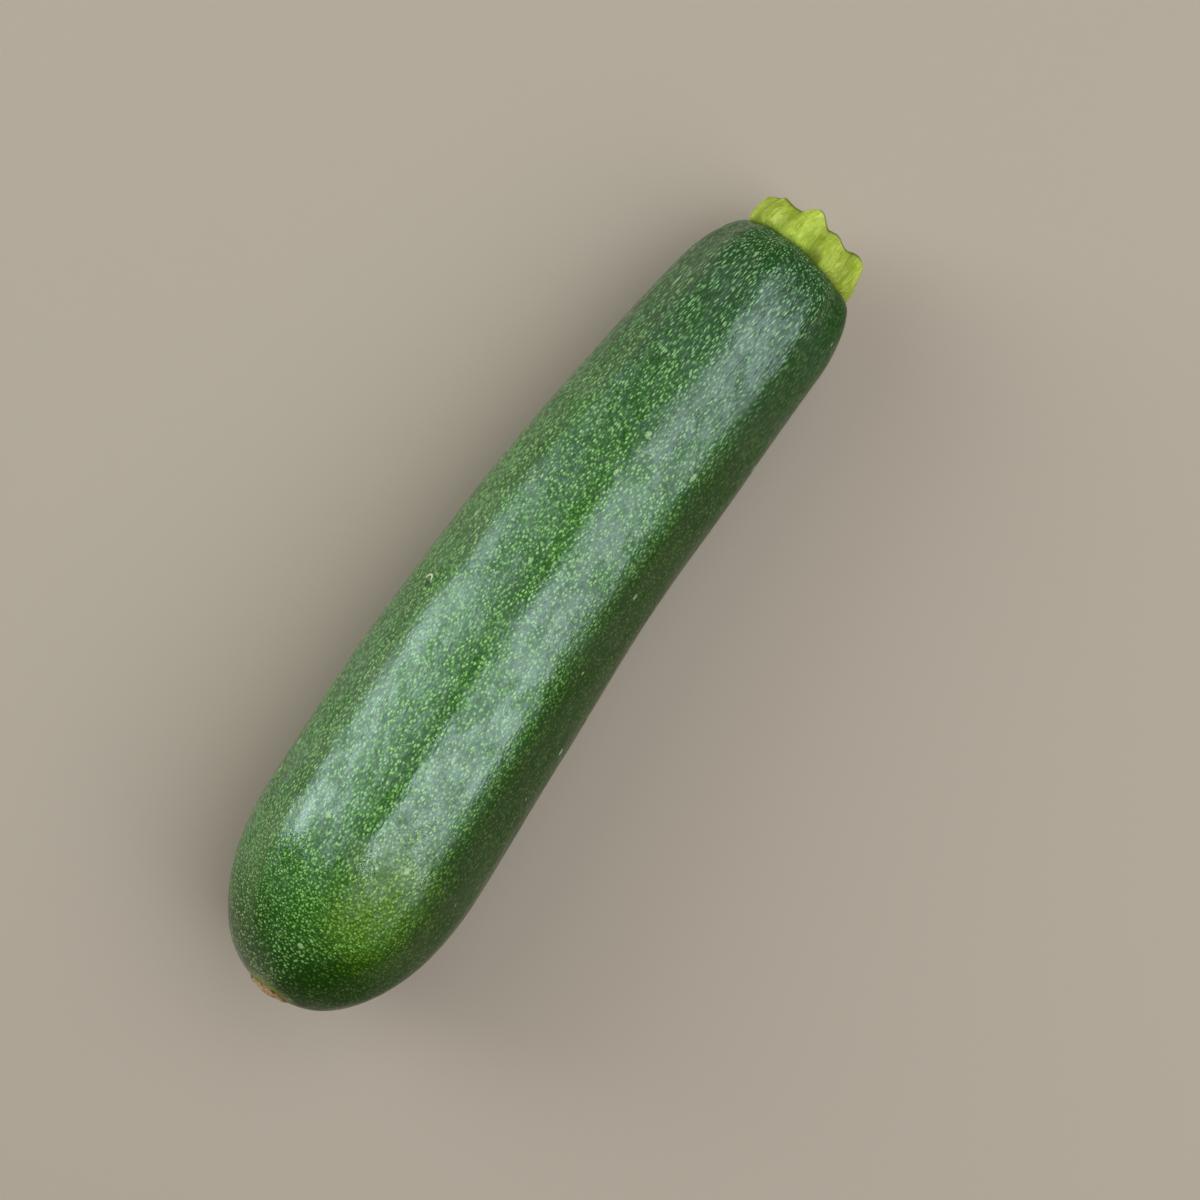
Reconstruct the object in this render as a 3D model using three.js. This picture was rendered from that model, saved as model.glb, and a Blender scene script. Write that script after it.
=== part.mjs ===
// A courgette, as picked, lying on its side: the green fruit and the short ribbed stub of its cut stalk.
// Millimetres, +Z up. +X runs along the fruit from the blossom end to the stalk, and +Y is to its left.
// The origin is on the surface it lies on, under the middle of its bounding box.

import * as THREE from "three";

const { clamp, degToRad, smoothstep } = THREE.MathUtils;

// Driving dimensions. "Along" is the distance from the blossom tip, up the middle of the fruit.
const FRUIT_LENGTH = 184.5;
const BELLY_RADIUS = 24.8;
const TAPER_ALONG = 20; // the body narrows from here to the stalk
const NECK_RADIUS = 18.2; // what it would narrow to at the stalk, if the shoulder didn't turn in
const TAPER_POWER = 1.73; // over 1, so that the belly runs on before it narrows
const BLOSSOM_ROUND = 39.5; // length of the rounded blossom end
const BLOSSOM_BLUNT = 2.3; // over 2, so that it is blunter than an ellipse
const SHOULDER_ROUND = 15.5; // length of the elliptic shoulder
const SEAT_RADIUS = 12.4; // the flat end under the stalk

// How it lies. The fruit sways a little from side to side, and both its ends are off the surface.
const SWAY = 1.7;
const SWAY_PEAK = 100.5;
const SWAY_HALF_PERIOD = 95.5;
const NECK_BEND = 1.75; // how far the stalk end has bent to the right by the end of the fruit
const NECK_FROM = 150;
const REST_ALONG = 84; // the weight bears here
const END_RISE = 0.7; // how far the underside has risen one REST_ALONG away from there
const TIP_LIFT = 5; // the blossom tip is above the middle of the belly
const TIP_ASIDE = 0.5; // and this far to the left
const TIP_LIFT_LENGTH = 30;
const FLAT_DEPTH = 0.32; // the underside is pressed flat by this much

// Ten low ridges run the length of the fruit, every other one a little stronger.
const RIDGES = 10;
const RIDGE_HEIGHT = 0.17;
const STRONG_RIDGE_HEIGHT = 0.12;
const RIDGE_TURN = degToRad(1); // the top ridge, measured from straight up towards the right
const RIDGE_TWIST = degToRad(-10); // by how much the ridges turn on the shoulder to meet the stalk's
const RIDGE_FADE = 14; // ridges fade out over this length at the blossom end
const SHOULDER_RIDGE_GAIN = 2.2; // and stand this many times as high on the shoulder

// Slow swells of a grown surface: their height, length along the fruit, number round it and start.
const SWELLS = [
  { height: 0.13, length: 82, round: 2, start: 0 },
  { height: 0.09, length: 47, round: -3, start: 1 },
];

// The blossom scar is a low corky button on the tip.
const SCAR_RADIUS = 3.9;
const SCAR_HEIGHT = 0.7;
const SCAR_DOME = 3; // over 1, so that its top is nearly flat

// The stalk stub, measured from its own foot.
const STALK_GAP = 0.3; // between the seat and the foot
const STALK_ASIDE = 0.9; // it stands this far to the left of the fruit's middle line
const STALK_FOOT_RADIUS = 12.5;
const STALK_BULGE_RADIUS = 13.8;
const STALK_BULGE_HEIGHT = 2.4;
const STALK_RIM_RADIUS = 13.2;
const STALK_HEIGHT = 6.1; // to the rim, in the grooves between the lobes
const STALK_RIM_ROUND = 0.7;
const STALK_DISH = 1.1; // the cut face is hollowed by this much
const STALK_TURN = degToRad(-12); // the stalk's top rib
const STALK_RIB_DEPTH = 1.8; // from a rib's crest to the groove beside it, at the rim
const STALK_FOOT_RIB_DEPTH = 0.5;
const STALK_WEAK_RIB = 0.64; // every other rib is only this share of the depth
const STALK_RIB_BREADTH = 0.75; // under 1, so that the ribs are broad and the grooves narrow

// Lobes of the stalk's torn rim: angle from straight up towards the right, half-width, extra height.
const RIM_LOBES = [
  { at: -12, width: 13, height: 3.1 },
  { at: -62, width: 18, height: 1.4 },
  { at: 16, width: 12, height: 1.6 },
  { at: 50, width: 15, height: 2.5 },
  { at: 112, width: 16.6, height: 1.7 },
  { at: 163, width: 19, height: 0.8 },
  { at: 214, width: 15.8, height: 1.9 },
  { at: 262, width: 13.4, height: 1.0 },
];

// Facets
const FRUIT_SIDES = 80;
const FRUIT_RINGS = 42;
const SCAR_RINGS = 3;
const STALK_SIDES = 100;
const STALK_SIDE_RINGS = 7;
const STALK_FACE_RINGS = 4;

// The radius of the fruit's body, before either end is rounded off.
function bodyRadius(along) {
  const share = Math.max(0, (along - TAPER_ALONG) / (FRUIT_LENGTH - TAPER_ALONG));
  return BELLY_RADIUS - (BELLY_RADIUS - NECK_RADIUS) * share ** TAPER_POWER;
}

// A rounded end's height, from 0 at its tip to 1 once the distance reaches its length. It is a quarter of
// an ellipse where its power is 2, and blunter where the power is higher.
function roundedEnd(distance, length, power = 2) {
  const left = 1 - clamp(distance / length, 0, 1);
  return (1 - left ** power) ** (1 / power);
}

function fruitRadius(along) {
  const body = bodyRadius(along) * roundedEnd(along, BLOSSOM_ROUND, BLOSSOM_BLUNT);
  const shoulder = roundedEnd(FRUIT_LENGTH - along, SHOULDER_ROUND);
  return SEAT_RADIUS * (1 - shoulder) + body * shoulder;
}

// The fruit's middle line: where its centre is at a distance along it.
function middle(along) {
  const neck = Math.max(0, (along - NECK_FROM) / (FRUIT_LENGTH - NECK_FROM));
  const tip = clamp(1 - along / TIP_LIFT_LENGTH, 0, 1) ** 2;
  const sway = SWAY * Math.cos((Math.PI * (along - SWAY_PEAK)) / SWAY_HALF_PERIOD);
  const rise = END_RISE * ((along - REST_ALONG) / REST_ALONG) ** 2;
  return new THREE.Vector3(
    along,
    sway - NECK_BEND * neck ** 2 + TIP_ASIDE * tip,
    bodyRadius(along) + rise + TIP_LIFT * tip - FLAT_DEPTH,
  );
}

// The middle line's directions at a distance along it: up and right, both square to it.
function frameAt(along) {
  const step = 0.5;
  const ahead = middle(along + step).sub(middle(along - step)).normalize();
  const right = new THREE.Vector3().crossVectors(ahead, new THREE.Vector3(0, 0, 1)).normalize();
  const up = new THREE.Vector3().crossVectors(right, ahead);
  return { centre: middle(along), up, right };
}

// Moves a lathe's points, which turn about +Y, onto the middle line or to its left by aside.
// shape(along, radius, turn) may change a point's place along the line and its radius; turn is its
// angle from straight up.
function layAlong(geometry, aside, shape) {
  const position = geometry.getAttribute("position");
  for (let i = 0; i < position.count; i++) {
    const [x, y, z] = [position.getX(i), position.getY(i), position.getZ(i)];
    const turn = Math.atan2(x, z);
    const { along, radius } = shape(y, Math.hypot(x, z), turn);
    const { centre, up, right } = frameAt(along);
    centre.addScaledVector(up, radius * Math.cos(turn));
    centre.addScaledVector(right, radius * Math.sin(turn) - aside);
    position.setXYZ(i, centre.x, centre.y, Math.max(centre.z, 0));
  }
  geometry.computeVertexNormals();
  return geometry;
}

// How far the fruit's surface stands off the plain turned shape.
function fruitRelief(along, turn) {
  const onShoulder = smoothstep(along, NECK_FROM, FRUIT_LENGTH);
  const from = turn - RIDGE_TURN - RIDGE_TWIST * onShoulder;
  const ridges =
    RIDGE_HEIGHT * Math.cos(RIDGES * from) +
    STRONG_RIDGE_HEIGHT * Math.cos((RIDGES / 2) * from);
  const grown = smoothstep(along, 0, RIDGE_FADE) * (1 + (SHOULDER_RIDGE_GAIN - 1) * onShoulder);
  const atBlossom = roundedEnd(along, BLOSSOM_ROUND);
  const atStalk = roundedEnd(FRUIT_LENGTH - along, SHOULDER_ROUND);
  const swell = SWELLS.reduce(
    (total, { height, length, round, start }) =>
      total + height * Math.sin((2 * Math.PI * along) / length + round * turn + start),
    0,
  );
  return ridges * grown + swell * atBlossom * atStalk;
}

// The outline of the fruit, turned about its middle line: scar, blossom end, body, shoulder, seat.
function fruitOutline() {
  const outline = [];
  const scarShare = (SCAR_RADIUS / BELLY_RADIUS) ** BLOSSOM_BLUNT;
  const scarAlong = BLOSSOM_ROUND * (1 - (1 - scarShare) ** (1 / BLOSSOM_BLUNT));
  for (let i = 0; i <= SCAR_RINGS; i++) {
    const share = i / SCAR_RINGS;
    const rise = SCAR_HEIGHT * (1 - share ** SCAR_DOME);
    outline.push(new THREE.Vector2(SCAR_RADIUS * share, scarAlong - rise));
  }
  for (let i = 0; i <= FRUIT_RINGS; i++) {
    const along = (FRUIT_LENGTH * (1 - Math.cos((Math.PI * i) / FRUIT_RINGS))) / 2;
    if (along > 2 * scarAlong) {
      outline.push(new THREE.Vector2(fruitRadius(along), along));
    }
  }
  outline.push(new THREE.Vector2(0, FRUIT_LENGTH));
  return outline;
}

function makeFruit() {
  const geometry = layAlong(
    new THREE.LatheGeometry(fruitOutline(), FRUIT_SIDES),
    0,
    (along, radius, turn) => {
      const onSkin = smoothstep(radius, SCAR_RADIUS, SEAT_RADIUS);
      return { along, radius: radius + fruitRelief(along, turn) * onSkin };
    },
  );
  const skin = new THREE.MeshStandardMaterial({ color: 0x3f6b2c, roughness: 0.36, metalness: 0 });
  const fruit = new THREE.Mesh(geometry, skin);
  fruit.name = "fruit";
  return fruit;
}

// How proud of the grooves the stalk is at an angle, from 0 in a groove to 1 on a rib's crest.
function stalkRib(turn) {
  const wave = Math.cos((RIDGES / 2) * (turn - STALK_TURN));
  const strength = (1 + STALK_WEAK_RIB + (1 - STALK_WEAK_RIB) * wave) / 2;
  return strength * Math.abs(wave) ** STALK_RIB_BREADTH;
}

// How far the torn rim stands above its grooves at an angle.
function rimHeight(turn) {
  return RIM_LOBES.reduce((total, lobe) => {
    const off = turn - degToRad(lobe.at);
    const nearest = Math.atan2(Math.sin(off), Math.cos(off));
    return total + lobe.height * Math.exp(-((nearest / degToRad(lobe.width)) ** 2));
  }, 0);
}

// The outline of the stalk stub above its seat: foot, bulging side, rounded rim, dished cut face.
function stalkOutline() {
  const outline = [new THREE.Vector2(0, 0)];
  for (let i = 0; i <= STALK_SIDE_RINGS; i++) {
    const height = ((STALK_HEIGHT - STALK_RIM_ROUND) * i) / STALK_SIDE_RINGS;
    const bulge = (STALK_BULGE_RADIUS - STALK_FOOT_RADIUS) * roundedEnd(height, STALK_BULGE_HEIGHT);
    const narrowing = smoothstep(height, STALK_BULGE_HEIGHT, STALK_HEIGHT);
    const taper = (STALK_BULGE_RADIUS - STALK_RIM_RADIUS) * narrowing;
    outline.push(new THREE.Vector2(STALK_FOOT_RADIUS + bulge - taper, height));
  }
  for (let i = 0; i < STALK_FACE_RINGS; i++) {
    const radius = (STALK_RIM_RADIUS - STALK_RIM_ROUND) * (1 - i / STALK_FACE_RINGS);
    const dish = STALK_DISH * (1 - (radius / STALK_RIM_RADIUS) ** 2);
    outline.push(new THREE.Vector2(radius, STALK_HEIGHT - dish));
  }
  outline.push(new THREE.Vector2(0, STALK_HEIGHT - STALK_DISH));
  return outline;
}

function makeStalk() {
  const geometry = layAlong(
    new THREE.LatheGeometry(stalkOutline(), STALK_SIDES),
    STALK_ASIDE,
    (height, radius, turn) => {
      const up = smoothstep(height, 0, STALK_HEIGHT);
      const out = Math.min(1, radius / STALK_RIM_RADIUS);
      const depth = STALK_FOOT_RIB_DEPTH + (STALK_RIB_DEPTH - STALK_FOOT_RIB_DEPTH) * up;
      const top = rimHeight(turn) * (height / STALK_HEIGHT) * out ** 3;
      return {
        along: FRUIT_LENGTH + STALK_GAP + height + top,
        radius: radius - depth * (1 - stalkRib(turn)) * out ** 2,
      };
    },
  );
  const rind = new THREE.MeshStandardMaterial({ color: 0x96b43c, roughness: 0.55, metalness: 0 });
  const stalk = new THREE.Mesh(geometry, rind);
  stalk.name = "stalk";
  return stalk;
}

const courgette = new THREE.Group();
courgette.add(makeFruit(), makeStalk());

// The group is moved so that the middle of its box is over the origin.
const box = new THREE.Box3().setFromObject(courgette);
const centre = box.getCenter(new THREE.Vector3());
courgette.position.set(-centre.x, -centre.y, -box.min.z);

export default courgette;
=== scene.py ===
"""A courgette as picked, lying on its side: a flecked waxy green skin, a corky blossom scar and the ribbed
yellow-green stub of its cut stalk. The shapes are the part's own, rebuilt from the same driving dimensions
with the finer relief that the solids leave out."""

import math
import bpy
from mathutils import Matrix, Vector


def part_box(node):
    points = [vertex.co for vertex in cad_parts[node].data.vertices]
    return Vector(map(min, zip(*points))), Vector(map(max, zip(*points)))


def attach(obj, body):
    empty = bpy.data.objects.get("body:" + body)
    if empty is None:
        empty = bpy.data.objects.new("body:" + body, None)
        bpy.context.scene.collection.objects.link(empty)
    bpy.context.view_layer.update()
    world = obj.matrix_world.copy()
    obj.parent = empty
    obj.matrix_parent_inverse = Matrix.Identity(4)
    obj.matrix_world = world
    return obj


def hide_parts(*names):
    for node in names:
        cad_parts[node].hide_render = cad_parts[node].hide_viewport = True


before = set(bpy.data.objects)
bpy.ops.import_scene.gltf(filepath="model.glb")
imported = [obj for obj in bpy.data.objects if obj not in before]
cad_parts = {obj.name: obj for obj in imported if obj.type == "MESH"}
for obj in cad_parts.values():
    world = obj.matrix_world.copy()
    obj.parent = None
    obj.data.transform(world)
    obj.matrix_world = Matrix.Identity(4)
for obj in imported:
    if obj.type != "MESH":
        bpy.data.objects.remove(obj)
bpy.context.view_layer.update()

from types import SimpleNamespace

import bpy
import numpy as np
from mathutils import Vector, noise

# Sizes are in millimetres, and the mesh is scaled to metres as it is made. "Along" is the distance from
# the blossom tip, up the middle of the fruit. "Turn" is the angle from straight up towards the right.
MM = 0.001
FRUIT_LENGTH = 184.5
BELLY_RADIUS = 24.8
TAPER_ALONG = 20.0
NECK_RADIUS = 18.2
TAPER_POWER = 1.73
BLOSSOM_ROUND = 39.5
BLOSSOM_BLUNT = 2.3
SHOULDER_ROUND = 15.5
SEAT_RADIUS = 12.4

# How it lies
SWAY = 1.7
SWAY_PEAK = 100.5
SWAY_HALF_PERIOD = 95.5
NECK_BEND = 1.75
NECK_FROM = 150.0
REST_ALONG = 84.0
END_RISE = 0.7
TIP_LIFT = 5.0
TIP_ASIDE = 0.5
TIP_LIFT_LENGTH = 30.0
FLAT_DEPTH = 0.32

# The ridges, and the slow swells: height, length along the fruit, number round it and start
RIDGES = 10
RIDGE_HEIGHT = 0.17
STRONG_RIDGE_HEIGHT = 0.12
RIDGE_TURN = math.radians(1)
RIDGE_TWIST = math.radians(-10)
RIDGE_FADE = 14.0
SHOULDER_RIDGE_GAIN = 2.2
SWELLS = ((0.13, 82.0, 2, 0.0), (0.09, 47.0, -3, 1.0))

# Relief too fine for the solids: swells, with their height and size across and along the skin, and a ring of
# puckers round the scar
FINE_SWELLS = ((0.09, 11.0, 34.0), (0.045, 3.4, 9.0))
PUCKER_HEIGHT = 0.22
PUCKER_RADIUS = 6.5
PUCKER_WIDTH = 2.6

# The blossom scar
SCAR_RADIUS = 3.9
SCAR_HEIGHT = 0.7
SCAR_DOME = 3.0
SCAR_CORK = 0.16
SCAR_CORK_SIZE = 0.7
SCAR_EDGE = 0.6
SCAR_NUBS = (math.radians(-78), math.radians(84))
SCAR_NUB_HEIGHT = 0.5
SCAR_NUB_WIDTH = 0.45

# Marks at places given as right, up and along the straightened piece: a small nick in the skin, with its
# radius and its pit's place from it, the middle of the skin's yellow-green patch, and a patch of painted shade
# on the stalk
NICK_PLACE = (-18.8, 13.8, 87.4)
NICK_RADIUS = 0.9
NICK_PIT = (0.3, 0.4, -NICK_RADIUS)
PATCH_PLACE = (8.5, 22.0, 28.0)
ROOT_SHADE_PLACE = (2.5, 12.6, 0.4)

# The skin's colours: where along the fruit the shoulder's and the tip's come in and are full, and how far
# apart its flecks, the dust between them and its larger specks are. The bump distances are the height of 1.
SHOULDER_ZONE = (115.0, 178.0)
TIP_ZONE = (28.0, 6.0)
FLECK_SPACING = 0.54
DUST_SPACING = 0.38
SPECK_SPACING = 4.6
SKIN_BUMP = 0.05
STALK_BUMP = 0.16

# The stalk stub
STALK_SINK = 0.5
STALK_GAP = 0.3
STALK_ASIDE = 0.9
STALK_FOOT_RADIUS = 12.5
STALK_BULGE_RADIUS = 13.8
STALK_BULGE_HEIGHT = 2.4
STALK_RIM_RADIUS = 13.2
STALK_HEIGHT = 6.1
STALK_RIM_ROUND = 0.7
STALK_DISH = 1.1
STALK_TURN = math.radians(-12)
STALK_RIB_DEPTH = 1.8
STALK_FOOT_RIB_DEPTH = 0.5
STALK_WEAK_RIB = 0.64
STALK_RIB_BREADTH = 0.75
RIM_LOBES = (
    (-12, 13, 3.1), (-62, 18, 1.4), (16, 12, 1.6), (50, 15, 2.5),
    (112, 16.6, 1.7), (163, 19, 0.8), (214, 15.8, 1.9), (262, 13.4, 1.0),
)
STALK_FIBRES = ((0.11, 0.8, 9.0), (0.05, 0.4, 5.0))
STALK_LUMPS = 0.4
STALK_LUMP_SIZE = (3.4, 5.0)

# Mesh: sides round each piece, the step between its rings, and the points that an outline has before it is
# spread evenly
FRUIT_SIDES = 288
FRUIT_STEP = 0.62
SKIN_POINTS = 1200
SCAR_POINTS = 40
STALK_SIDES = 360
STALK_STEP = 0.3
STALK_SIDE_POINTS = 60
STALK_FACE_POINTS = 30

# The photograph's view: straight down, its middle over a point of the fruit, the fruit's length turned
# up from the picture's horizontal. FRAME_WIDTH is what it takes in at the height of the fruit's middle.
VIEW_HEIGHT = 420.0
VIEW_ALONG = 103.8
VIEW_RIGHT = 10.2
VIEW_TURN = math.radians(54.53)
FRAME_WIDTH = 247.4
SENSOR = 36.0

# How bright the lights below make a white page that lies on the floor, in red, green and blue, where 1 is
# white on screen
STUDIO_LIGHT = (0.79, 0.96, 1.04)

# Panes of soft sky, whose middles are PANE_DISTANCE metres from a line PANE_AIM above the floor. Each has its
# side, which is 1 on the right and -1 on the left, the angles from straight up between which the line sees
# it, its two ends along X in metres, and its radiance, where 1 is a white page's. SKY is each side's colour.
PANE_DISTANCE = 1.0
PANE_AIM = 0.025
SKY = {1: (0.8, 0.99, 1.08), -1: (0.77, 0.99, 1.03)}
PANES = (
    (1, 5, 34, -0.195, 0.03, 4.0),
    (1, 34, 61, -0.195, 0.03, 2.6),
    (1, 5, 60, 0.03, 0.2, 2.5),
    (1, 8, 59, 0.2, 0.42, 1.5),
    (1, -17, 52, 0.42, 1.19, 1.8),
    (-1, 24, 44, -0.42, 0.02, 1.4),
    (-1, 44, 88, -0.42, 0.02, 2.8),
    (-1, 24, 44, 0.02, 0.2, 0.9),
    (-1, 44, 88, 0.02, 0.2, 1.8),
    (-1, 44, 88, 0.2, 0.4, 0.6),
    (-1, 48, 76, -0.13, -0.02, 0.6),
    (-1, 48, 76, -0.42, -0.16, 1.7),
)
ROOM_COLOUR = (0.95, 0.96, 1.0, 1.0)
ROOM_STRENGTH = 0.18

# The floor: its colour on screen, and how far it reaches in metres
FLOOR_ON_SCREEN = (177, 168, 154)
FLOOR_REACH = 3.0


def smoothstep(value, low, high):
    share = np.clip((value - low) / (high - low), 0, 1)
    return share * share * (3 - 2 * share)


def rounded_end(distance, length, power=2.0):
    """From 0 at a rounded end's tip to 1 at its length, a quarter of an ellipse where the power is 2."""
    left = 1 - np.clip(distance / length, 0, 1)
    return (1 - left**power) ** (1 / power)


def body_radius(along):
    share = np.maximum(0, (along - TAPER_ALONG) / (FRUIT_LENGTH - TAPER_ALONG))
    return BELLY_RADIUS - (BELLY_RADIUS - NECK_RADIUS) * share**TAPER_POWER


def fruit_radius(along):
    body = body_radius(along) * rounded_end(along, BLOSSOM_ROUND, BLOSSOM_BLUNT)
    shoulder = rounded_end(FRUIT_LENGTH - along, SHOULDER_ROUND)
    return SEAT_RADIUS * (1 - shoulder) + body * shoulder


def middle(along):
    """The fruit's middle line."""
    neck = np.maximum(0, (along - NECK_FROM) / (FRUIT_LENGTH - NECK_FROM))
    tip = np.clip(1 - along / TIP_LIFT_LENGTH, 0, 1) ** 2
    sway = SWAY * np.cos(math.pi * (along - SWAY_PEAK) / SWAY_HALF_PERIOD)
    sway += TIP_ASIDE * tip - NECK_BEND * neck**2
    rise = END_RISE * ((along - REST_ALONG) / REST_ALONG) ** 2
    return np.stack([along, sway, body_radius(along) + rise + TIP_LIFT * tip - FLAT_DEPTH], axis=-1)


def lay_along(along, radius, turn, aside=0.0):
    """Points at a turn and radius about the middle line, or about a line to its left by aside."""
    step = 0.5
    ahead = middle(along + step) - middle(along - step)
    ahead /= np.linalg.norm(ahead, axis=-1, keepdims=True)
    right = np.cross(ahead, np.array([0.0, 0.0, 1.0]))
    right /= np.linalg.norm(right, axis=-1, keepdims=True)
    up = np.cross(right, ahead)
    points = middle(along) + up * (radius * np.cos(turn))[..., None]
    points += right * (radius * np.sin(turn) - aside)[..., None]
    points[..., 2] = np.maximum(points[..., 2], 0)
    return points


def noise_at(points, across, length=None, seed=0.0):
    """Smooth noise from -1 to 1 at straightened points, for hollows of a size across and along the skin."""
    scale = np.array([1 / across, 1 / across, 1 / (length or across)])
    flat = (points * scale + seed).reshape(-1, 3)
    values = np.fromiter((noise.noise(Vector(p)) for p in flat.tolist()), float, len(flat))
    return values.reshape(points.shape[:-1])


def resample(outline, step):
    """The same outline with points a step apart: columns radius and along."""
    lengths = np.linalg.norm(np.diff(outline, axis=0), axis=1)
    reached = np.concatenate([[0], np.cumsum(lengths)])
    at = np.linspace(0, reached[-1], max(2, round(reached[-1] / step) + 1))
    return np.stack([np.interp(at, reached, outline[:, i]) for i in range(2)], axis=-1)


def straight_place(along, radius, turn):
    """Places as they are before the piece is laid along its middle line: right, up and along."""
    return np.stack([radius * np.sin(turn), radius * np.cos(turn), along + 0 * turn], axis=-1)


def one_each(rows):
    """Values for a mesh's vertices from rows of them, of which the first and last row are each one vertex."""
    inner = rows[1:-1].reshape(-1, *rows.shape[2:])
    return np.concatenate([rows[:1, 0], inner, rows[-1:, 0]]).astype(np.float32)


def ring_faces(rows, sides):
    """The faces of a closed mesh from rows of vertices. The first and last row are each one vertex."""
    column = np.arange(sides)
    after = (column + 1) % sides
    first = 1 + np.arange(rows - 3)[:, None] * sides
    quads = np.stack(
        [first + column, first + after, first + sides + after, first + sides + column], axis=-1
    ).reshape(-1, 4)
    top_row = 1 + (rows - 3) * sides
    last = top_row + sides
    start_fan = np.stack([np.zeros(sides, int), 1 + after, 1 + column], axis=-1)
    end_fan = np.stack([np.full(sides, last), top_row + column, top_row + after], axis=-1)
    return start_fan.tolist() + quads.tolist() + end_fan.tolist()


def unrolled_map(rows, sides):
    """The map places of those faces' corners, with the piece unrolled from end to end."""
    column = np.arange(sides)
    share = np.linspace(0, 1, rows)
    left, right = column / sides, (column + 1) / sides
    half = (left + right) / 2
    level = np.zeros(sides)
    start_fan = np.stack([half, level + share[0], right, level + share[1], left, level + share[1]], axis=-1)
    end_fan = np.stack([half, level + share[-1], left, level + share[-2], right, level + share[-2]], axis=-1)
    low, high, left, right = np.broadcast_arrays(share[1:-2, None], share[2:-1, None], left, right)
    strip = np.stack([left, low, right, low, right, high, left, high], axis=-1)
    return np.concatenate([start_fan.ravel(), strip.ravel(), end_fan.ravel()]).astype(np.float32)


def make_mesh(name, points, straight, **amounts):
    """A closed mesh from rows of points that run round a middle line. The first and last row are each one
    point. Its straightened places and the amounts go to attributes."""
    rows, sides = points.shape[:2]
    mesh = bpy.data.meshes.new(name)
    mesh.from_pydata((one_each(points) * MM).tolist(), [], ring_faces(rows, sides))
    mesh.polygons.foreach_set("use_smooth", np.ones(len(mesh.polygons), bool))
    place = mesh.attributes.new("straight", "FLOAT_VECTOR", "POINT")
    place.data.foreach_set("vector", one_each(straight).ravel())
    for amount, values in amounts.items():
        mesh.attributes.new(amount, "FLOAT", "POINT").data.foreach_set("value", one_each(values))
    mesh.uv_layers.new(name="OFBake").data.foreach_set("uv", unrolled_map(rows, sides))
    mesh.validate()
    piece = bpy.data.objects.new(name, mesh)
    bpy.context.scene.collection.objects.link(piece)
    return piece


def fruit_relief(straight, radius, turn):
    """How far the skin stands off the plain turned shape."""
    along = straight[..., 2]
    on_shoulder = smoothstep(along, NECK_FROM, FRUIT_LENGTH)
    turned = turn - RIDGE_TURN - RIDGE_TWIST * on_shoulder
    ridges = RIDGE_HEIGHT * np.cos(RIDGES * turned) + STRONG_RIDGE_HEIGHT * np.cos(RIDGES / 2 * turned)
    ridges *= smoothstep(along, 0, RIDGE_FADE) * (1 + (SHOULDER_RIDGE_GAIN - 1) * on_shoulder)
    swell = sum(
        height * np.sin(2 * math.pi * along / length + number * turn + start)
        for height, length, number, start in SWELLS
    )
    swell += sum(
        height * noise_at(straight, across, length, seed=7.0 * i)
        for i, (height, across, length) in enumerate(FINE_SWELLS)
    )
    ends = rounded_end(along, BLOSSOM_ROUND) * rounded_end(FRUIT_LENGTH - along, SHOULDER_ROUND)
    near_scar = np.exp(-(((radius - PUCKER_RADIUS) / PUCKER_WIDTH) ** 2)) * (along < BLOSSOM_ROUND)
    pucker = PUCKER_HEIGHT * np.cos(RIDGES / 2 * turned) * near_scar
    return (ridges + swell * ends) * smoothstep(radius, SCAR_RADIUS, SEAT_RADIUS) + pucker


def scar_relief(straight, radius, turn):
    """The scar's corky surface and the two dry nubs on its edge."""
    at_tip = straight[..., 2] < SCAR_RADIUS
    on_scar = at_tip * (1 - smoothstep(radius, SCAR_RADIUS, SCAR_RADIUS + SCAR_EDGE))
    cork = SCAR_CORK * noise_at(straight, SCAR_CORK_SIZE, seed=40.0) * on_scar
    nubs = 0
    for at in SCAR_NUBS:
        off = np.hypot(radius * np.sin(turn - at), radius * np.cos(turn - at) - SCAR_RADIUS)
        nubs = nubs + SCAR_NUB_HEIGHT * np.exp(-((off / SCAR_NUB_WIDTH) ** 2)) * at_tip
    return cork + nubs


def make_fruit():
    scar_share = (SCAR_RADIUS / BELLY_RADIUS) ** BLOSSOM_BLUNT
    scar_along = BLOSSOM_ROUND * (1 - (1 - scar_share) ** (1 / BLOSSOM_BLUNT))
    share = np.linspace(0, 1, SCAR_POINTS)
    scar = np.stack([SCAR_RADIUS * share, scar_along - SCAR_HEIGHT * (1 - share**SCAR_DOME)], axis=-1)
    along = FRUIT_LENGTH * (1 - np.cos(np.linspace(0, math.pi, SKIN_POINTS))) / 2
    along = along[along > 2 * scar_along]
    skin = np.stack([fruit_radius(along), along], axis=-1)
    outline = np.concatenate([scar, skin, [[0, FRUIT_LENGTH]]])
    radius, along = (column[:, None] for column in resample(outline, FRUIT_STEP).T)
    turn = (math.pi + 2 * math.pi * np.arange(FRUIT_SIDES) / FRUIT_SIDES)[None, :]
    radius, along, turn = np.broadcast_arrays(radius, along, turn)
    straight = straight_place(along, radius, turn)
    lift = scar_relief(straight, radius, turn)
    points = lay_along(along - lift, radius + fruit_relief(straight, radius, turn), turn)
    points[0], points[-1] = points[0].mean(axis=0), points[-1].mean(axis=0)
    return points, straight


def stalk_rib(turn):
    wave = np.cos(RIDGES / 2 * (turn - STALK_TURN))
    strength = (1 + STALK_WEAK_RIB + (1 - STALK_WEAK_RIB) * wave) / 2
    return strength * np.abs(wave) ** STALK_RIB_BREADTH


def rim_height(turn):
    total = 0
    for at, width, height in RIM_LOBES:
        off = turn - math.radians(at)
        nearest = np.arctan2(np.sin(off), np.cos(off))
        total = total + height * np.exp(-((nearest / math.radians(width)) ** 2))
    return total


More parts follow.
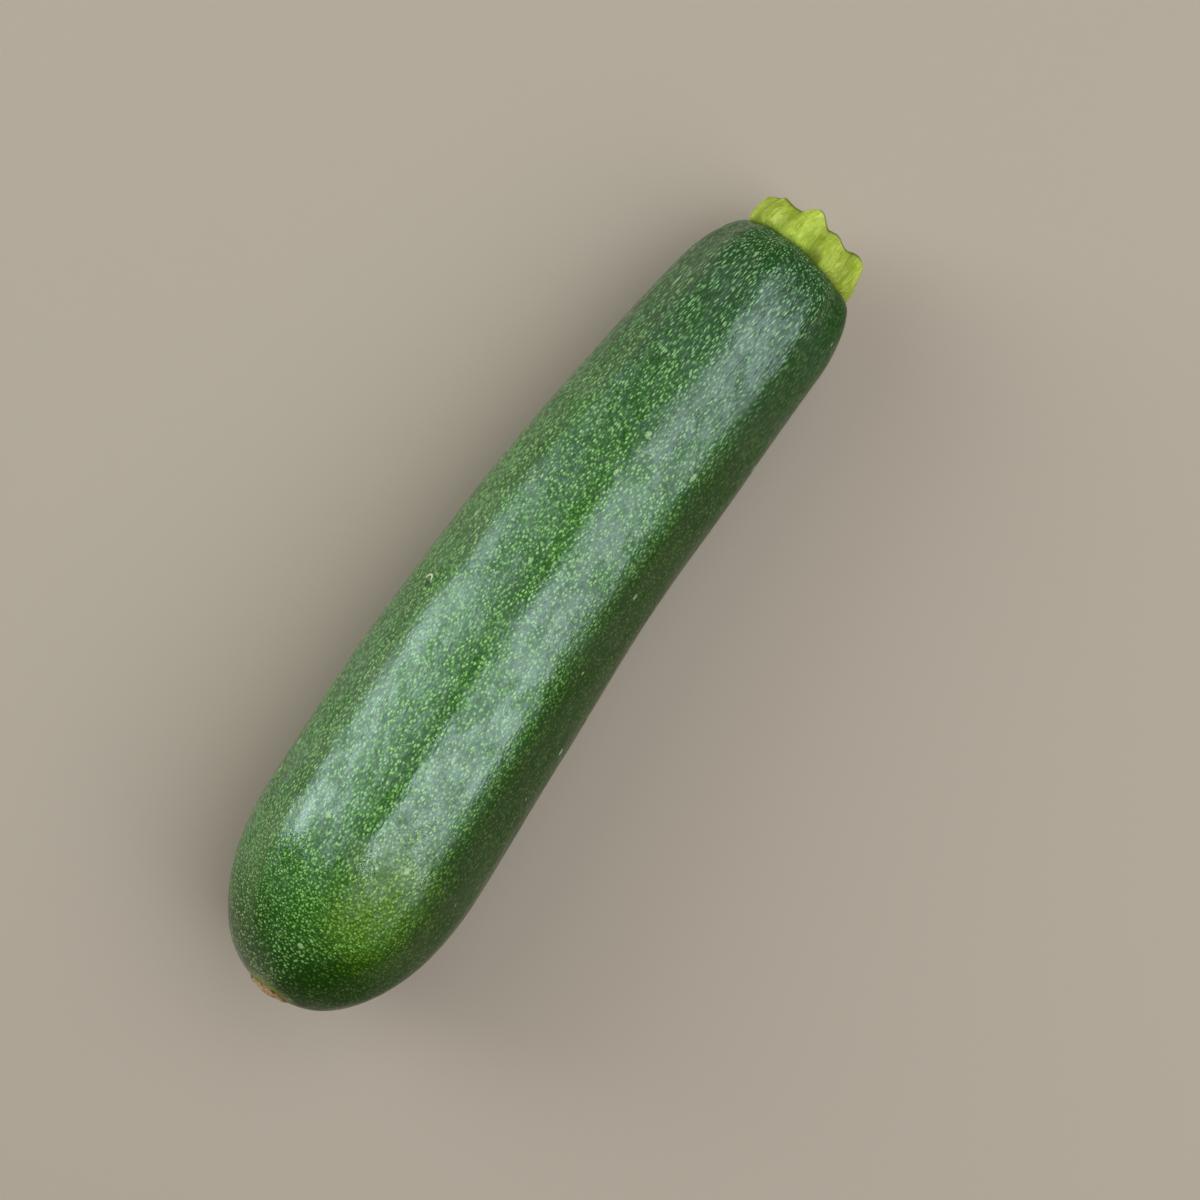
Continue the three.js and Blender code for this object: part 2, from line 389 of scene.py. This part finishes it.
def make_stalk():
    height = np.linspace(0, STALK_HEIGHT - STALK_RIM_ROUND, STALK_SIDE_POINTS)
    bulge = (STALK_BULGE_RADIUS - STALK_FOOT_RADIUS) * rounded_end(height, STALK_BULGE_HEIGHT)
    taper = (STALK_BULGE_RADIUS - STALK_RIM_RADIUS) * smoothstep(height, STALK_BULGE_HEIGHT, STALK_HEIGHT)
    side = np.stack([STALK_FOOT_RADIUS + bulge - taper, height], axis=-1)
    radius = (STALK_RIM_RADIUS - STALK_RIM_ROUND) * np.linspace(1, 0, STALK_FACE_POINTS)
    dish = STALK_DISH * (1 - (radius / STALK_RIM_RADIUS) ** 2)
    face = np.stack([radius, STALK_HEIGHT - dish], axis=-1)
    outline = np.concatenate([[[0, 0]], side, face])
    radius, height = (column[:, None] for column in resample(outline, STALK_STEP).T)
    turn = (math.pi + 2 * math.pi * np.arange(STALK_SIDES) / STALK_SIDES)[None, :]
    radius, height, turn = np.broadcast_arrays(radius, height, turn)
    straight = straight_place(height, radius, turn)

    up = smoothstep(height, 0, STALK_HEIGHT)
    out = np.minimum(1, radius / STALK_RIM_RADIUS)
    depth = STALK_FOOT_RIB_DEPTH + (STALK_RIB_DEPTH - STALK_FOOT_RIB_DEPTH) * up
    top = rim_height(turn) * (height / STALK_HEIGHT) * out**3
    fibres = sum(
        size * noise_at(straight, across, length, seed=3.0)
        for size, across, length in STALK_FIBRES
    )
    lumps = STALK_LUMPS * noise_at(straight, *STALK_LUMP_SIZE, seed=9.0) * up
    shaped = radius + (fibres * out**2 + lumps - depth * (1 - stalk_rib(turn))) * out**2
    seat = FRUIT_LENGTH + STALK_GAP - STALK_SINK * (1 - smoothstep(height, 0, STALK_BULGE_HEIGHT))
    points = lay_along(seat + height + top, shaped, turn, STALK_ASIDE)
    points[0], points[-1] = points[0].mean(axis=0), points[-1].mean(axis=0)
    return points, straight, 1 - stalk_rib(turn)


class Shader:
    """A material's node tree, with short ways to add its nodes. Each returns the socket that it gives."""

    def __init__(self, name):
        self.material = bpy.data.materials.new(name)
        self.material.use_nodes = True
        self.nodes = self.material.node_tree.nodes
        self.links = self.material.node_tree.links
        self.surface = self.nodes["Principled BSDF"]

    def put(self, socket, value):
        if isinstance(value, bpy.types.NodeSocket):
            self.links.new(value, socket)
        elif value is not None:
            socket.default_value = value

    def attribute(self, name, output="Fac"):
        node = self.nodes.new("ShaderNodeAttribute")
        node.attribute_name = name
        return node.outputs[output]

    def math(self, operation, a, b=None):
        node = self.nodes.new("ShaderNodeMath")
        node.operation = operation
        self.put(node.inputs[0], a)
        self.put(node.inputs[1], b)
        return node.outputs[0]

    def plus(self, a, b):
        return self.math("ADD", a, b)

    def times(self, a, b):
        return self.math("MULTIPLY", a, b)

    def vector(self, operation, a, b=None):
        node = self.nodes.new("ShaderNodeVectorMath")
        node.operation = operation
        self.put(node.inputs[0], a)
        self.put(node.inputs[1], b)
        return node.outputs["Value" if operation in ("LENGTH", "DISTANCE") else "Vector"]

    def drawn_out(self, place, share):
        """Places with only a share of their length, so that what is drawn at them comes out longer."""
        return self.vector("MULTIPLY", place, (1.0, 1.0, share))

    def parts(self, vector):
        node = self.nodes.new("ShaderNodeSeparateXYZ")
        self.put(node.inputs[0], vector)
        return node.outputs

    def joined(self, x, y, z):
        node = self.nodes.new("ShaderNodeCombineXYZ")
        for socket, value in zip(node.inputs, (x, y, z)):
            self.put(socket, value)
        return node.outputs[0]

    def between(self, value, low, high, to_low=0.0, to_high=1.0):
        """A smooth step from to_low, at low, to to_high, at high."""
        node = self.nodes.new("ShaderNodeMapRange")
        node.interpolation_type = "SMOOTHSTEP"
        for name, given in (("Value", value), ("From Min", low), ("From Max", high)):
            self.put(node.inputs[name], given)
        self.put(node.inputs["To Min"], to_low)
        self.put(node.inputs["To Max"], to_high)
        return node.outputs[0]

    def mix(self, share, a, b):
        """The colour a, with a share of b mixed in."""
        node = self.nodes.new("ShaderNodeMix")
        node.data_type = "RGBA"
        self.put(node.inputs["Factor"], share)
        self.put(node.inputs[6], a)
        self.put(node.inputs[7], b)
        return node.outputs[2]

    def noise(self, place, size, detail=2.0, rough=0.5, warp=0.0):
        node = self.nodes.new("ShaderNodeTexNoise")
        self.put(node.inputs["Vector"], place)
        self.put(node.inputs["Scale"], 1 / size)
        self.put(node.inputs["Detail"], detail)
        self.put(node.inputs["Roughness"], rough)
        self.put(node.inputs["Distortion"], warp)
        return node.outputs["Fac"]

    def jitter(self, place, size, amount):
        """Places moved about by up to half the amount, to give what is drawn at them an uneven outline."""
        node = self.noise(place, size).node
        moved = self.vector("SUBTRACT", node.outputs["Color"], (0.5, 0.5, 0.5))
        return self.vector("ADD", place, self.vector("MULTIPLY", moved, (amount, amount, amount)))

    def cells(self, place, size, seed_shift=0.0, uneven=1.0):
        """Distance to the nearest of points about a size apart, in sizes, and that point's random colour."""
        node = self.nodes.new("ShaderNodeTexVoronoi")
        shifted = self.vector("ADD", place, (seed_shift,) * 3) if seed_shift else place
        self.put(node.inputs["Vector"], shifted)
        self.put(node.inputs["Scale"], 1 / size)
        self.put(node.inputs["Randomness"], uneven)
        return node.outputs["Distance"], node.outputs["Color"]

    def bump(self, height, distance):
        node = self.nodes.new("ShaderNodeBump")
        self.put(node.inputs["Height"], height)
        self.put(node.inputs["Distance"], distance * MM)
        return node.outputs[0]


def colour(red, green, blue):
    """A base colour, given as it looks on screen from 0 to 255 where it faces up under the studio's light."""
    values = [channel / 255 for channel in (red, green, blue)]
    linear = [v / 12.92 if v <= 0.04045 else ((v + 0.055) / 1.055) ** 2.4 for v in values]
    return (*[v / light for v, light in zip(linear, STUDIO_LIGHT)], 1.0)


def skin_zones(s, place):
    """How far places are in each zone of the skin, from 0 to 1, with the noises that the zones follow."""
    zones = SimpleNamespace()
    right, up, zones.along = s.parts(place)
    zones.radial = s.vector("LENGTH", s.joined(right, up, 0.0))
    zones.blotch = s.noise(place, 16.0, 3.0, 0.6)
    zones.streak = s.noise(s.drawn_out(place, 0.12), 2.6, 3.0, 0.6)
    zones.bloom = s.noise(s.drawn_out(place, 0.6), 5.0, 4.0, 0.7, warp=0.6)
    zones.shoulder = s.between(zones.along, *SHOULDER_ZONE)
    zones.tip = s.between(s.plus(zones.along, s.times(zones.streak, 8.0)), *TIP_ZONE)
    zones.sideways = s.plus(s.math("DIVIDE", right, zones.radial), s.times(zones.streak, 0.2))
    # Painted shade: the mask of the right flank, where the skin is painted darker
    zones.right_flank = s.between(s.plus(zones.sideways, s.times(zones.tip, 0.5)), 0.58, 0.86)
    # Painted light and reflection: the mask of the left flank, where the skin is painted paler and greyer
    left = s.between(zones.sideways, -0.5, -0.85)
    zones.left_flank = s.times(left, s.between(zones.tip, 0.0, 1.0, 1.0, 0.0))
    furrow = s.noise(s.drawn_out(place, 0.1), 1.4, 3.0, 0.65)
    zones.furrow = s.times(zones.shoulder, s.between(furrow, 0.47, 0.33))
    off = s.vector("MULTIPLY", s.vector("SUBTRACT", place, PATCH_PLACE), (0.85, 0.6, 0.5))
    zones.patch = s.between(s.plus(s.vector("LENGTH", off), s.times(zones.blotch, 9.0)), 16.0, 6.5)
    return zones


def skin_grain(s, place):
    """The places that flecks are drawn at. They make flecks narrower towards the shoulder, broader at the tip
    and drawn out lengthwise, most of all on the shoulder."""
    right, up, along = s.parts(place)
    beyond = s.math("MAXIMUM", s.math("SUBTRACT", along, 118.0), 0.0)
    squeezed = s.math("SUBTRACT", along, s.times(s.math("POWER", beyond, 2.0), 0.005))
    narrower = s.between(along, 120.0, 178.0, 1.0, 1.4)
    narrower = s.times(narrower, s.between(along, 4.0, 30.0, 0.68, 1.0))
    grain = s.joined(s.times(right, narrower), s.times(up, narrower), s.times(squeezed, 0.6))
    return s.jitter(grain, 0.7, 0.4)


def skin_ground(s, zones, grain, distance):
    """The green under the flecks, darker at both ends and in gaps and creases, with painted shade down the
    right flank and painted light and reflection, paler and greyer, down the left flank.
    """
    ground = s.mix(s.between(zones.blotch, 0.35, 0.68), colour(50, 112, 14), colour(66, 134, 22))
    ground = s.mix(s.between(zones.streak, 0.35, 0.7, 0.0, 0.4), ground, colour(42, 98, 22))
    for zone, share, green in (
        # Painted shade down the right flank
        (zones.right_flank, 0.9, colour(24, 50, 4)),
        # Painted light and reflection down the left flank
        (zones.left_flank, 0.5, colour(92, 148, 102)),
        (zones.shoulder, 0.85, colour(32, 78, 38)),
        (zones.tip, 0.85, colour(26, 56, 10)),
        (zones.furrow, 0.7, colour(20, 52, 24)),
        (zones.patch, 0.75, colour(92, 138, 8)),
    ):
        ground = s.mix(s.times(zone, share), ground, green)
    gap = s.times(s.between(distance, 0.35, 0.7, 0.0, 0.7), s.between(zones.patch, 0.0, 1.0, 1.0, 0.65))
    ground = s.mix(gap, ground, colour(22, 60, 8))
    crease = s.noise(s.drawn_out(grain, 0.45), 0.4, 2.0, 0.6)
    return s.mix(s.between(crease, 0.5, 0.32, 0.0, 0.5), ground, colour(24, 56, 12))


def skin_flecks(s, zones, grain, distance, chance):
    """How much of a fleck is at each place, from 0 to 1: flecks of uneven size, and a fainter dust."""
    size = s.plus(s.times(s.parts(chance)[0], 0.18), 0.22)
    fleck = s.between(s.math("SUBTRACT", distance, size), 0.1, -0.12)
    fleck = s.times(fleck, s.between(s.parts(chance)[1], 0.0, 0.7, 0.55, 1.0))
    near, luck = s.cells(grain, DUST_SPACING, seed_shift=17.0)
    dust = s.times(s.between(near, 0.42, 0.18), s.between(s.parts(luck)[0], 0.2, 1.0, 0.0, 0.55))
    fleck = s.math("MAXIMUM", fleck, dust)
    fleck = s.times(fleck, s.between(zones.bloom, 0.5, 0.66, 1.0, 0.6))
    # Painted reflection: fainter flecks down the left flank, as under a greyish sheen
    return s.times(fleck, s.between(zones.left_flank, 0.3, 1.0, 1.0, 0.6))


def fleck_colour(s, zones):
    pale = s.mix(zones.shoulder, colour(152, 206, 118), colour(144, 196, 134))
    pale = s.mix(s.times(zones.tip, 0.6), pale, colour(116, 162, 100))
    # Painted shade: darker flecks down the right flank
    pale = s.mix(zones.right_flank, pale, colour(80, 116, 44))
    return s.mix(s.times(zones.patch, 0.7), pale, colour(158, 194, 66))


def add_specks(s, skin, grain):
    """Scattered larger specks."""
    distance, chance = s.cells(grain, SPECK_SPACING, seed_shift=31.0)
    size = s.between(s.parts(chance)[1], 0.0, 1.0, 0.07, 0.13)
    speck = s.between(s.math("DIVIDE", distance, size), 1.1, 0.7)
    speck = s.times(speck, s.between(s.parts(chance)[0], 0.35, 0.5))
    return s.mix(s.times(speck, 0.6), skin, colour(168, 208, 138))


def add_nick(s, skin, place):
    """A pale crescent nick on the left flank, with a dark pit below it."""
    off = s.vector("SUBTRACT", place, NICK_PLACE)
    ring = s.math("ABSOLUTE", s.math("SUBTRACT", s.vector("LENGTH", off), NICK_RADIUS))
    nick = s.times(s.between(ring, 0.32, 0.12), s.between(s.parts(off)[2], -0.4, 0.1))
    pit = s.between(s.vector("DISTANCE", off, NICK_PIT), 0.95, 0.5)
    skin = s.mix(s.times(pit, 0.9), skin, colour(16, 32, 10))
    return s.mix(nick, skin, colour(206, 216, 172))


def add_scar(s, skin, place, zones):
    """The scar: cork with a dark torn border, and a yellow-green tinge beside it. Gives the skin's colour
    with the scar, how far places are in the border, and the cork's height."""
    frayed = s.plus(zones.radial, s.between(s.noise(place, 0.9, 2.0), 0.3, 0.7, -0.45, 0.45))
    at_tip = s.between(zones.along, 4.5, 3.0)
    tinge = s.times(s.between(frayed, 7.5, 3.8), at_tip)
    skin = s.mix(s.times(tinge, 0.85), skin, colour(124, 146, 44))
    border = s.times(s.between(frayed, 4.7, 4.2), at_tip)
    skin = s.mix(border, skin, colour(104, 74, 42))
    cork_grain = s.noise(place, 0.8, 3.0, 0.7)
    cork = s.mix(s.between(cork_grain, 0.3, 0.7), colour(150, 120, 84), colour(204, 178, 138))
    on_cork = s.times(s.between(frayed, 4.2, 3.6), at_tip)
    return s.mix(on_cork, skin, cork), border, s.times(cork_grain, on_cork)


def skin_wax(s, zones):
    """How strong the waxy reflection is, from 0 to 1: cloudy, and weaker at both ends and on the right."""
    wax = s.between(zones.bloom, 0.36, 0.62, 0.5, 1.0)
    wax = s.times(wax, s.between(zones.right_flank, 0.0, 1.0, 1.0, 0.4))
    wax = s.times(wax, s.between(zones.along, 170.0, 182.0, 1.0, 0.4))
    tip_wax = s.between(zones.sideways, -0.4, 0.3, 0.55, 0.15)
    return s.times(wax, s.between(zones.along, 8.0, 32.0, tip_wax, 1.0))


def skin_height(s, place, grain, zones, fleck, cork):
    """The skin's finest relief, in units of SKIN_BUMP."""
    ripple = s.noise(s.drawn_out(place, 0.5), 2.0, 3.0, 0.6)
    pores = s.noise(grain, 0.5, 2.0, 0.6)
    height = s.plus(s.times(fleck, 0.25), s.times(pores, 1.4))
    height = s.plus(height, s.times(ripple, 3.0))
    height = s.plus(height, s.times(zones.bloom, 3.0))
    height = s.math("SUBTRACT", height, s.times(zones.furrow, 2.0))
    return s.plus(height, s.times(cork, 4.0))


def skin_material():
    s = Shader("skin")
    place = s.attribute("straight", "Vector")
    zones = skin_zones(s, place)
    grain = skin_grain(s, place)
    distance, chance = s.cells(grain, FLECK_SPACING, uneven=0.95)
    fleck = skin_flecks(s, zones, grain, distance, chance)
    skin = s.mix(s.times(fleck, 0.9), skin_ground(s, zones, grain, distance), fleck_colour(s, zones))
    skin = add_nick(s, add_specks(s, skin, grain), place)
    skin, border, cork = add_scar(s, skin, place, zones)
    s.put(s.surface.inputs["Base Color"], skin)

    gloss = s.noise(s.drawn_out(place, 0.4), 3.2, 4.0, 0.65)
    rough = s.between(gloss, 0.3, 0.72, 0.14, 0.38)
    s.put(s.surface.inputs["Roughness"], s.math("MAXIMUM", rough, s.times(border, 0.85)))
    s.surface.inputs["IOR"].default_value = 1.6
    s.put(s.surface.inputs["Specular IOR Level"], skin_wax(s, zones))
    height = skin_height(s, place, grain, zones, fleck, cork)
    s.put(s.surface.inputs["Normal"], s.bump(height, SKIN_BUMP))
    return s.material


def rind_colour(s, place, height, radial, fibre, torn):
    """The stalk's yellow-green side, with pale and dark fibres and darker on its rim, and painted shade in its
    grooves, at its base where it meets the fruit and at the root of one rib."""
    blotch = s.noise(place, 3.6, 4.0, 0.65)
    # Painted shade in the grooves between the ribs
    groove = s.between(s.plus(s.attribute("groove"), s.times(blotch, 0.5)), 0.45, 1.1)
    # Painted shade at the base, where the stalk meets the fruit
    foot_shade = s.between(s.plus(height, s.times(blotch, 1.6)), 2.0, 0.7)
    # Painted shade at the root of one rib, where it meets the fruit
    off = s.vector("MULTIPLY", s.vector("SUBTRACT", place, ROOT_SHADE_PLACE), (0.6, 0.4, 0.9))
    root_shade = s.between(s.plus(s.vector("LENGTH", off), blotch), 2.2, 1.1)
    rim = s.times(
        s.between(height, STALK_HEIGHT - 0.9, STALK_HEIGHT - 0.45),
        s.between(radial, STALK_RIM_RADIUS - 1.0, STALK_RIM_RADIUS - 0.4),
    )
    rind = s.mix(s.between(blotch, 0.36, 0.62), colour(150, 174, 34), colour(184, 208, 76))
    for share, green in (
        (s.between(torn, 0.5, 0.64, 0.0, 0.8), colour(212, 230, 120)),
        (s.between(torn, 0.46, 0.32, 0.0, 0.6), colour(122, 146, 20)),
        (s.between(fibre, 0.54, 0.7, 0.0, 0.5), colour(208, 226, 120)),
        # Painted shade in the grooves
        (s.times(groove, 0.55), colour(122, 146, 22)),
        # Painted shade at the base of the stalk
        (s.times(foot_shade, 0.6), colour(98, 120, 20)),
        # Painted shade at the root of one rib
        (s.times(root_shade, 0.75), colour(96, 108, 8)),
        (s.times(rim, 0.75), colour(96, 104, 30)),
    ):
        rind = s.mix(share, rind, green)
    return rind


def pith_colour(s, place):
    """The stalk's cut face, with small darker pores."""
    distance, _ = s.cells(place, 1.5)
    pith = s.mix(s.between(s.noise(place, 2.4, 2.0), 0.35, 0.7), colour(168, 186, 110), colour(204, 212, 150))
    return s.mix(s.between(distance, 0.22, 0.1, 0.0, 0.6), pith, colour(120, 140, 62))


def stalk_material():
    s = Shader("stalk_rind")
    place = s.attribute("straight", "Vector")
    right, up, height = s.parts(place)
    radial = s.vector("LENGTH", s.joined(right, up, 0.0))
    fibre = s.noise(s.drawn_out(place, 0.16), 0.8, 4.0, 0.65)
    torn = s.noise(s.drawn_out(place, 0.5), 1.5, 4.0, 0.7, warp=1.0)
    rind = rind_colour(s, place, height, radial, fibre, torn)
    on_face = s.between(radial, STALK_RIM_RADIUS - 0.2, STALK_RIM_RADIUS - 1.4)
    on_face = s.times(on_face, s.between(height, STALK_HEIGHT - 1.9, STALK_HEIGHT - 1.3))
    s.put(s.surface.inputs["Base Color"], s.mix(on_face, rind, pith_colour(s, place)))
    s.surface.inputs["Roughness"].default_value = 0.5
    s.surface.inputs["Specular IOR Level"].default_value = 0.3
    s.put(s.surface.inputs["Normal"], s.bump(s.plus(fibre, s.times(torn, 3.5)), STALK_BUMP))
    return s.material


def make_floor():
    s = Shader("floor")
    s.surface.inputs["Base Color"].default_value = colour(*FLOOR_ON_SCREEN)
    s.surface.inputs["Roughness"].default_value = 0.85
    corners = [(x * FLOOR_REACH, y * FLOOR_REACH, 0) for x, y in ((-1, -1), (1, -1), (1, 1), (-1, 1))]
    mesh = bpy.data.meshes.new("floor")
    mesh.from_pydata(corners, [], [(0, 1, 2, 3)])
    mesh.materials.append(s.material)
    floor = bpy.data.objects.new("floor", mesh)
    bpy.context.scene.collection.objects.link(floor)
    return floor


def make_pane(name, side, low_angle, high_angle, low_x, high_x, radiance):
    """A pane of sky, as PANES describes it: a rectangle of light that faces the fruit, its width along X."""
    mid = math.radians((low_angle + high_angle) / 2)
    half = math.radians((high_angle - low_angle) / 2)
    width, height = high_x - low_x, 2 * PANE_DISTANCE * math.tan(half)
    data = bpy.data.lights.new(name, "AREA")
    data.shape = "RECTANGLE"
    data.size, data.size_y = width, height
    data.energy = radiance * math.pi * width * height
    data.color = SKY[side]
    away = Vector((0, -side * math.sin(mid), math.cos(mid)))
    light = bpy.data.objects.new(name, data)
    light.location = Vector(((low_x + high_x) / 2, 0, PANE_AIM)) + away * PANE_DISTANCE
    light.rotation_euler = (-away).to_track_quat("-Z", "Y").to_euler()
    bpy.context.scene.collection.objects.link(light)


# The pieces, moved to where the solids are in the frame
fruit_points, fruit_straight = make_fruit()
stalk_points, stalk_straight, stalk_groove = make_stalk()
fruit_low, fruit_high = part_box("fruit")
shift = np.array([
    fruit_low.x / MM - fruit_points[..., 0].min(),
    (fruit_low.y + fruit_high.y) / 2 / MM - (fruit_points[..., 1].min() + fruit_points[..., 1].max()) / 2,
    0,
])
fruit = make_mesh("courgette_fruit", fruit_points + shift, fruit_straight)
fruit.data.materials.append(skin_material())
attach(fruit, "root")
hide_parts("fruit")
stalk = make_mesh("courgette_stalk", stalk_points + shift, stalk_straight, groove=stalk_groove)
stalk.data.materials.append(stalk_material())
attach(stalk, "root")
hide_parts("stalk")

floor = make_floor()

# Light
for number, pane in enumerate(PANES):
    make_pane(f"pane_{number}", *pane)
world = bpy.data.worlds.new("studio")
bpy.context.scene.world = world
world.use_nodes = True
world.node_tree.nodes["Background"].inputs["Color"].default_value = ROOM_COLOUR
world.node_tree.nodes["Background"].inputs["Strength"].default_value = ROOM_STRENGTH
bpy.context.scene.view_settings.view_transform = "Standard"

# Camera
camera_data = bpy.data.cameras.new("camera")
camera_data.sensor_width = SENSOR
camera_data.lens = SENSOR * (VIEW_HEIGHT - BELLY_RADIUS) / FRAME_WIDTH
camera = bpy.data.objects.new("camera", camera_data)
camera.location = (Vector((VIEW_ALONG, -VIEW_RIGHT, VIEW_HEIGHT)) + Vector(shift)) * MM
camera.rotation_euler = (0, 0, -VIEW_TURN)
bpy.context.scene.collection.objects.link(camera)
bpy.context.scene.camera = camera
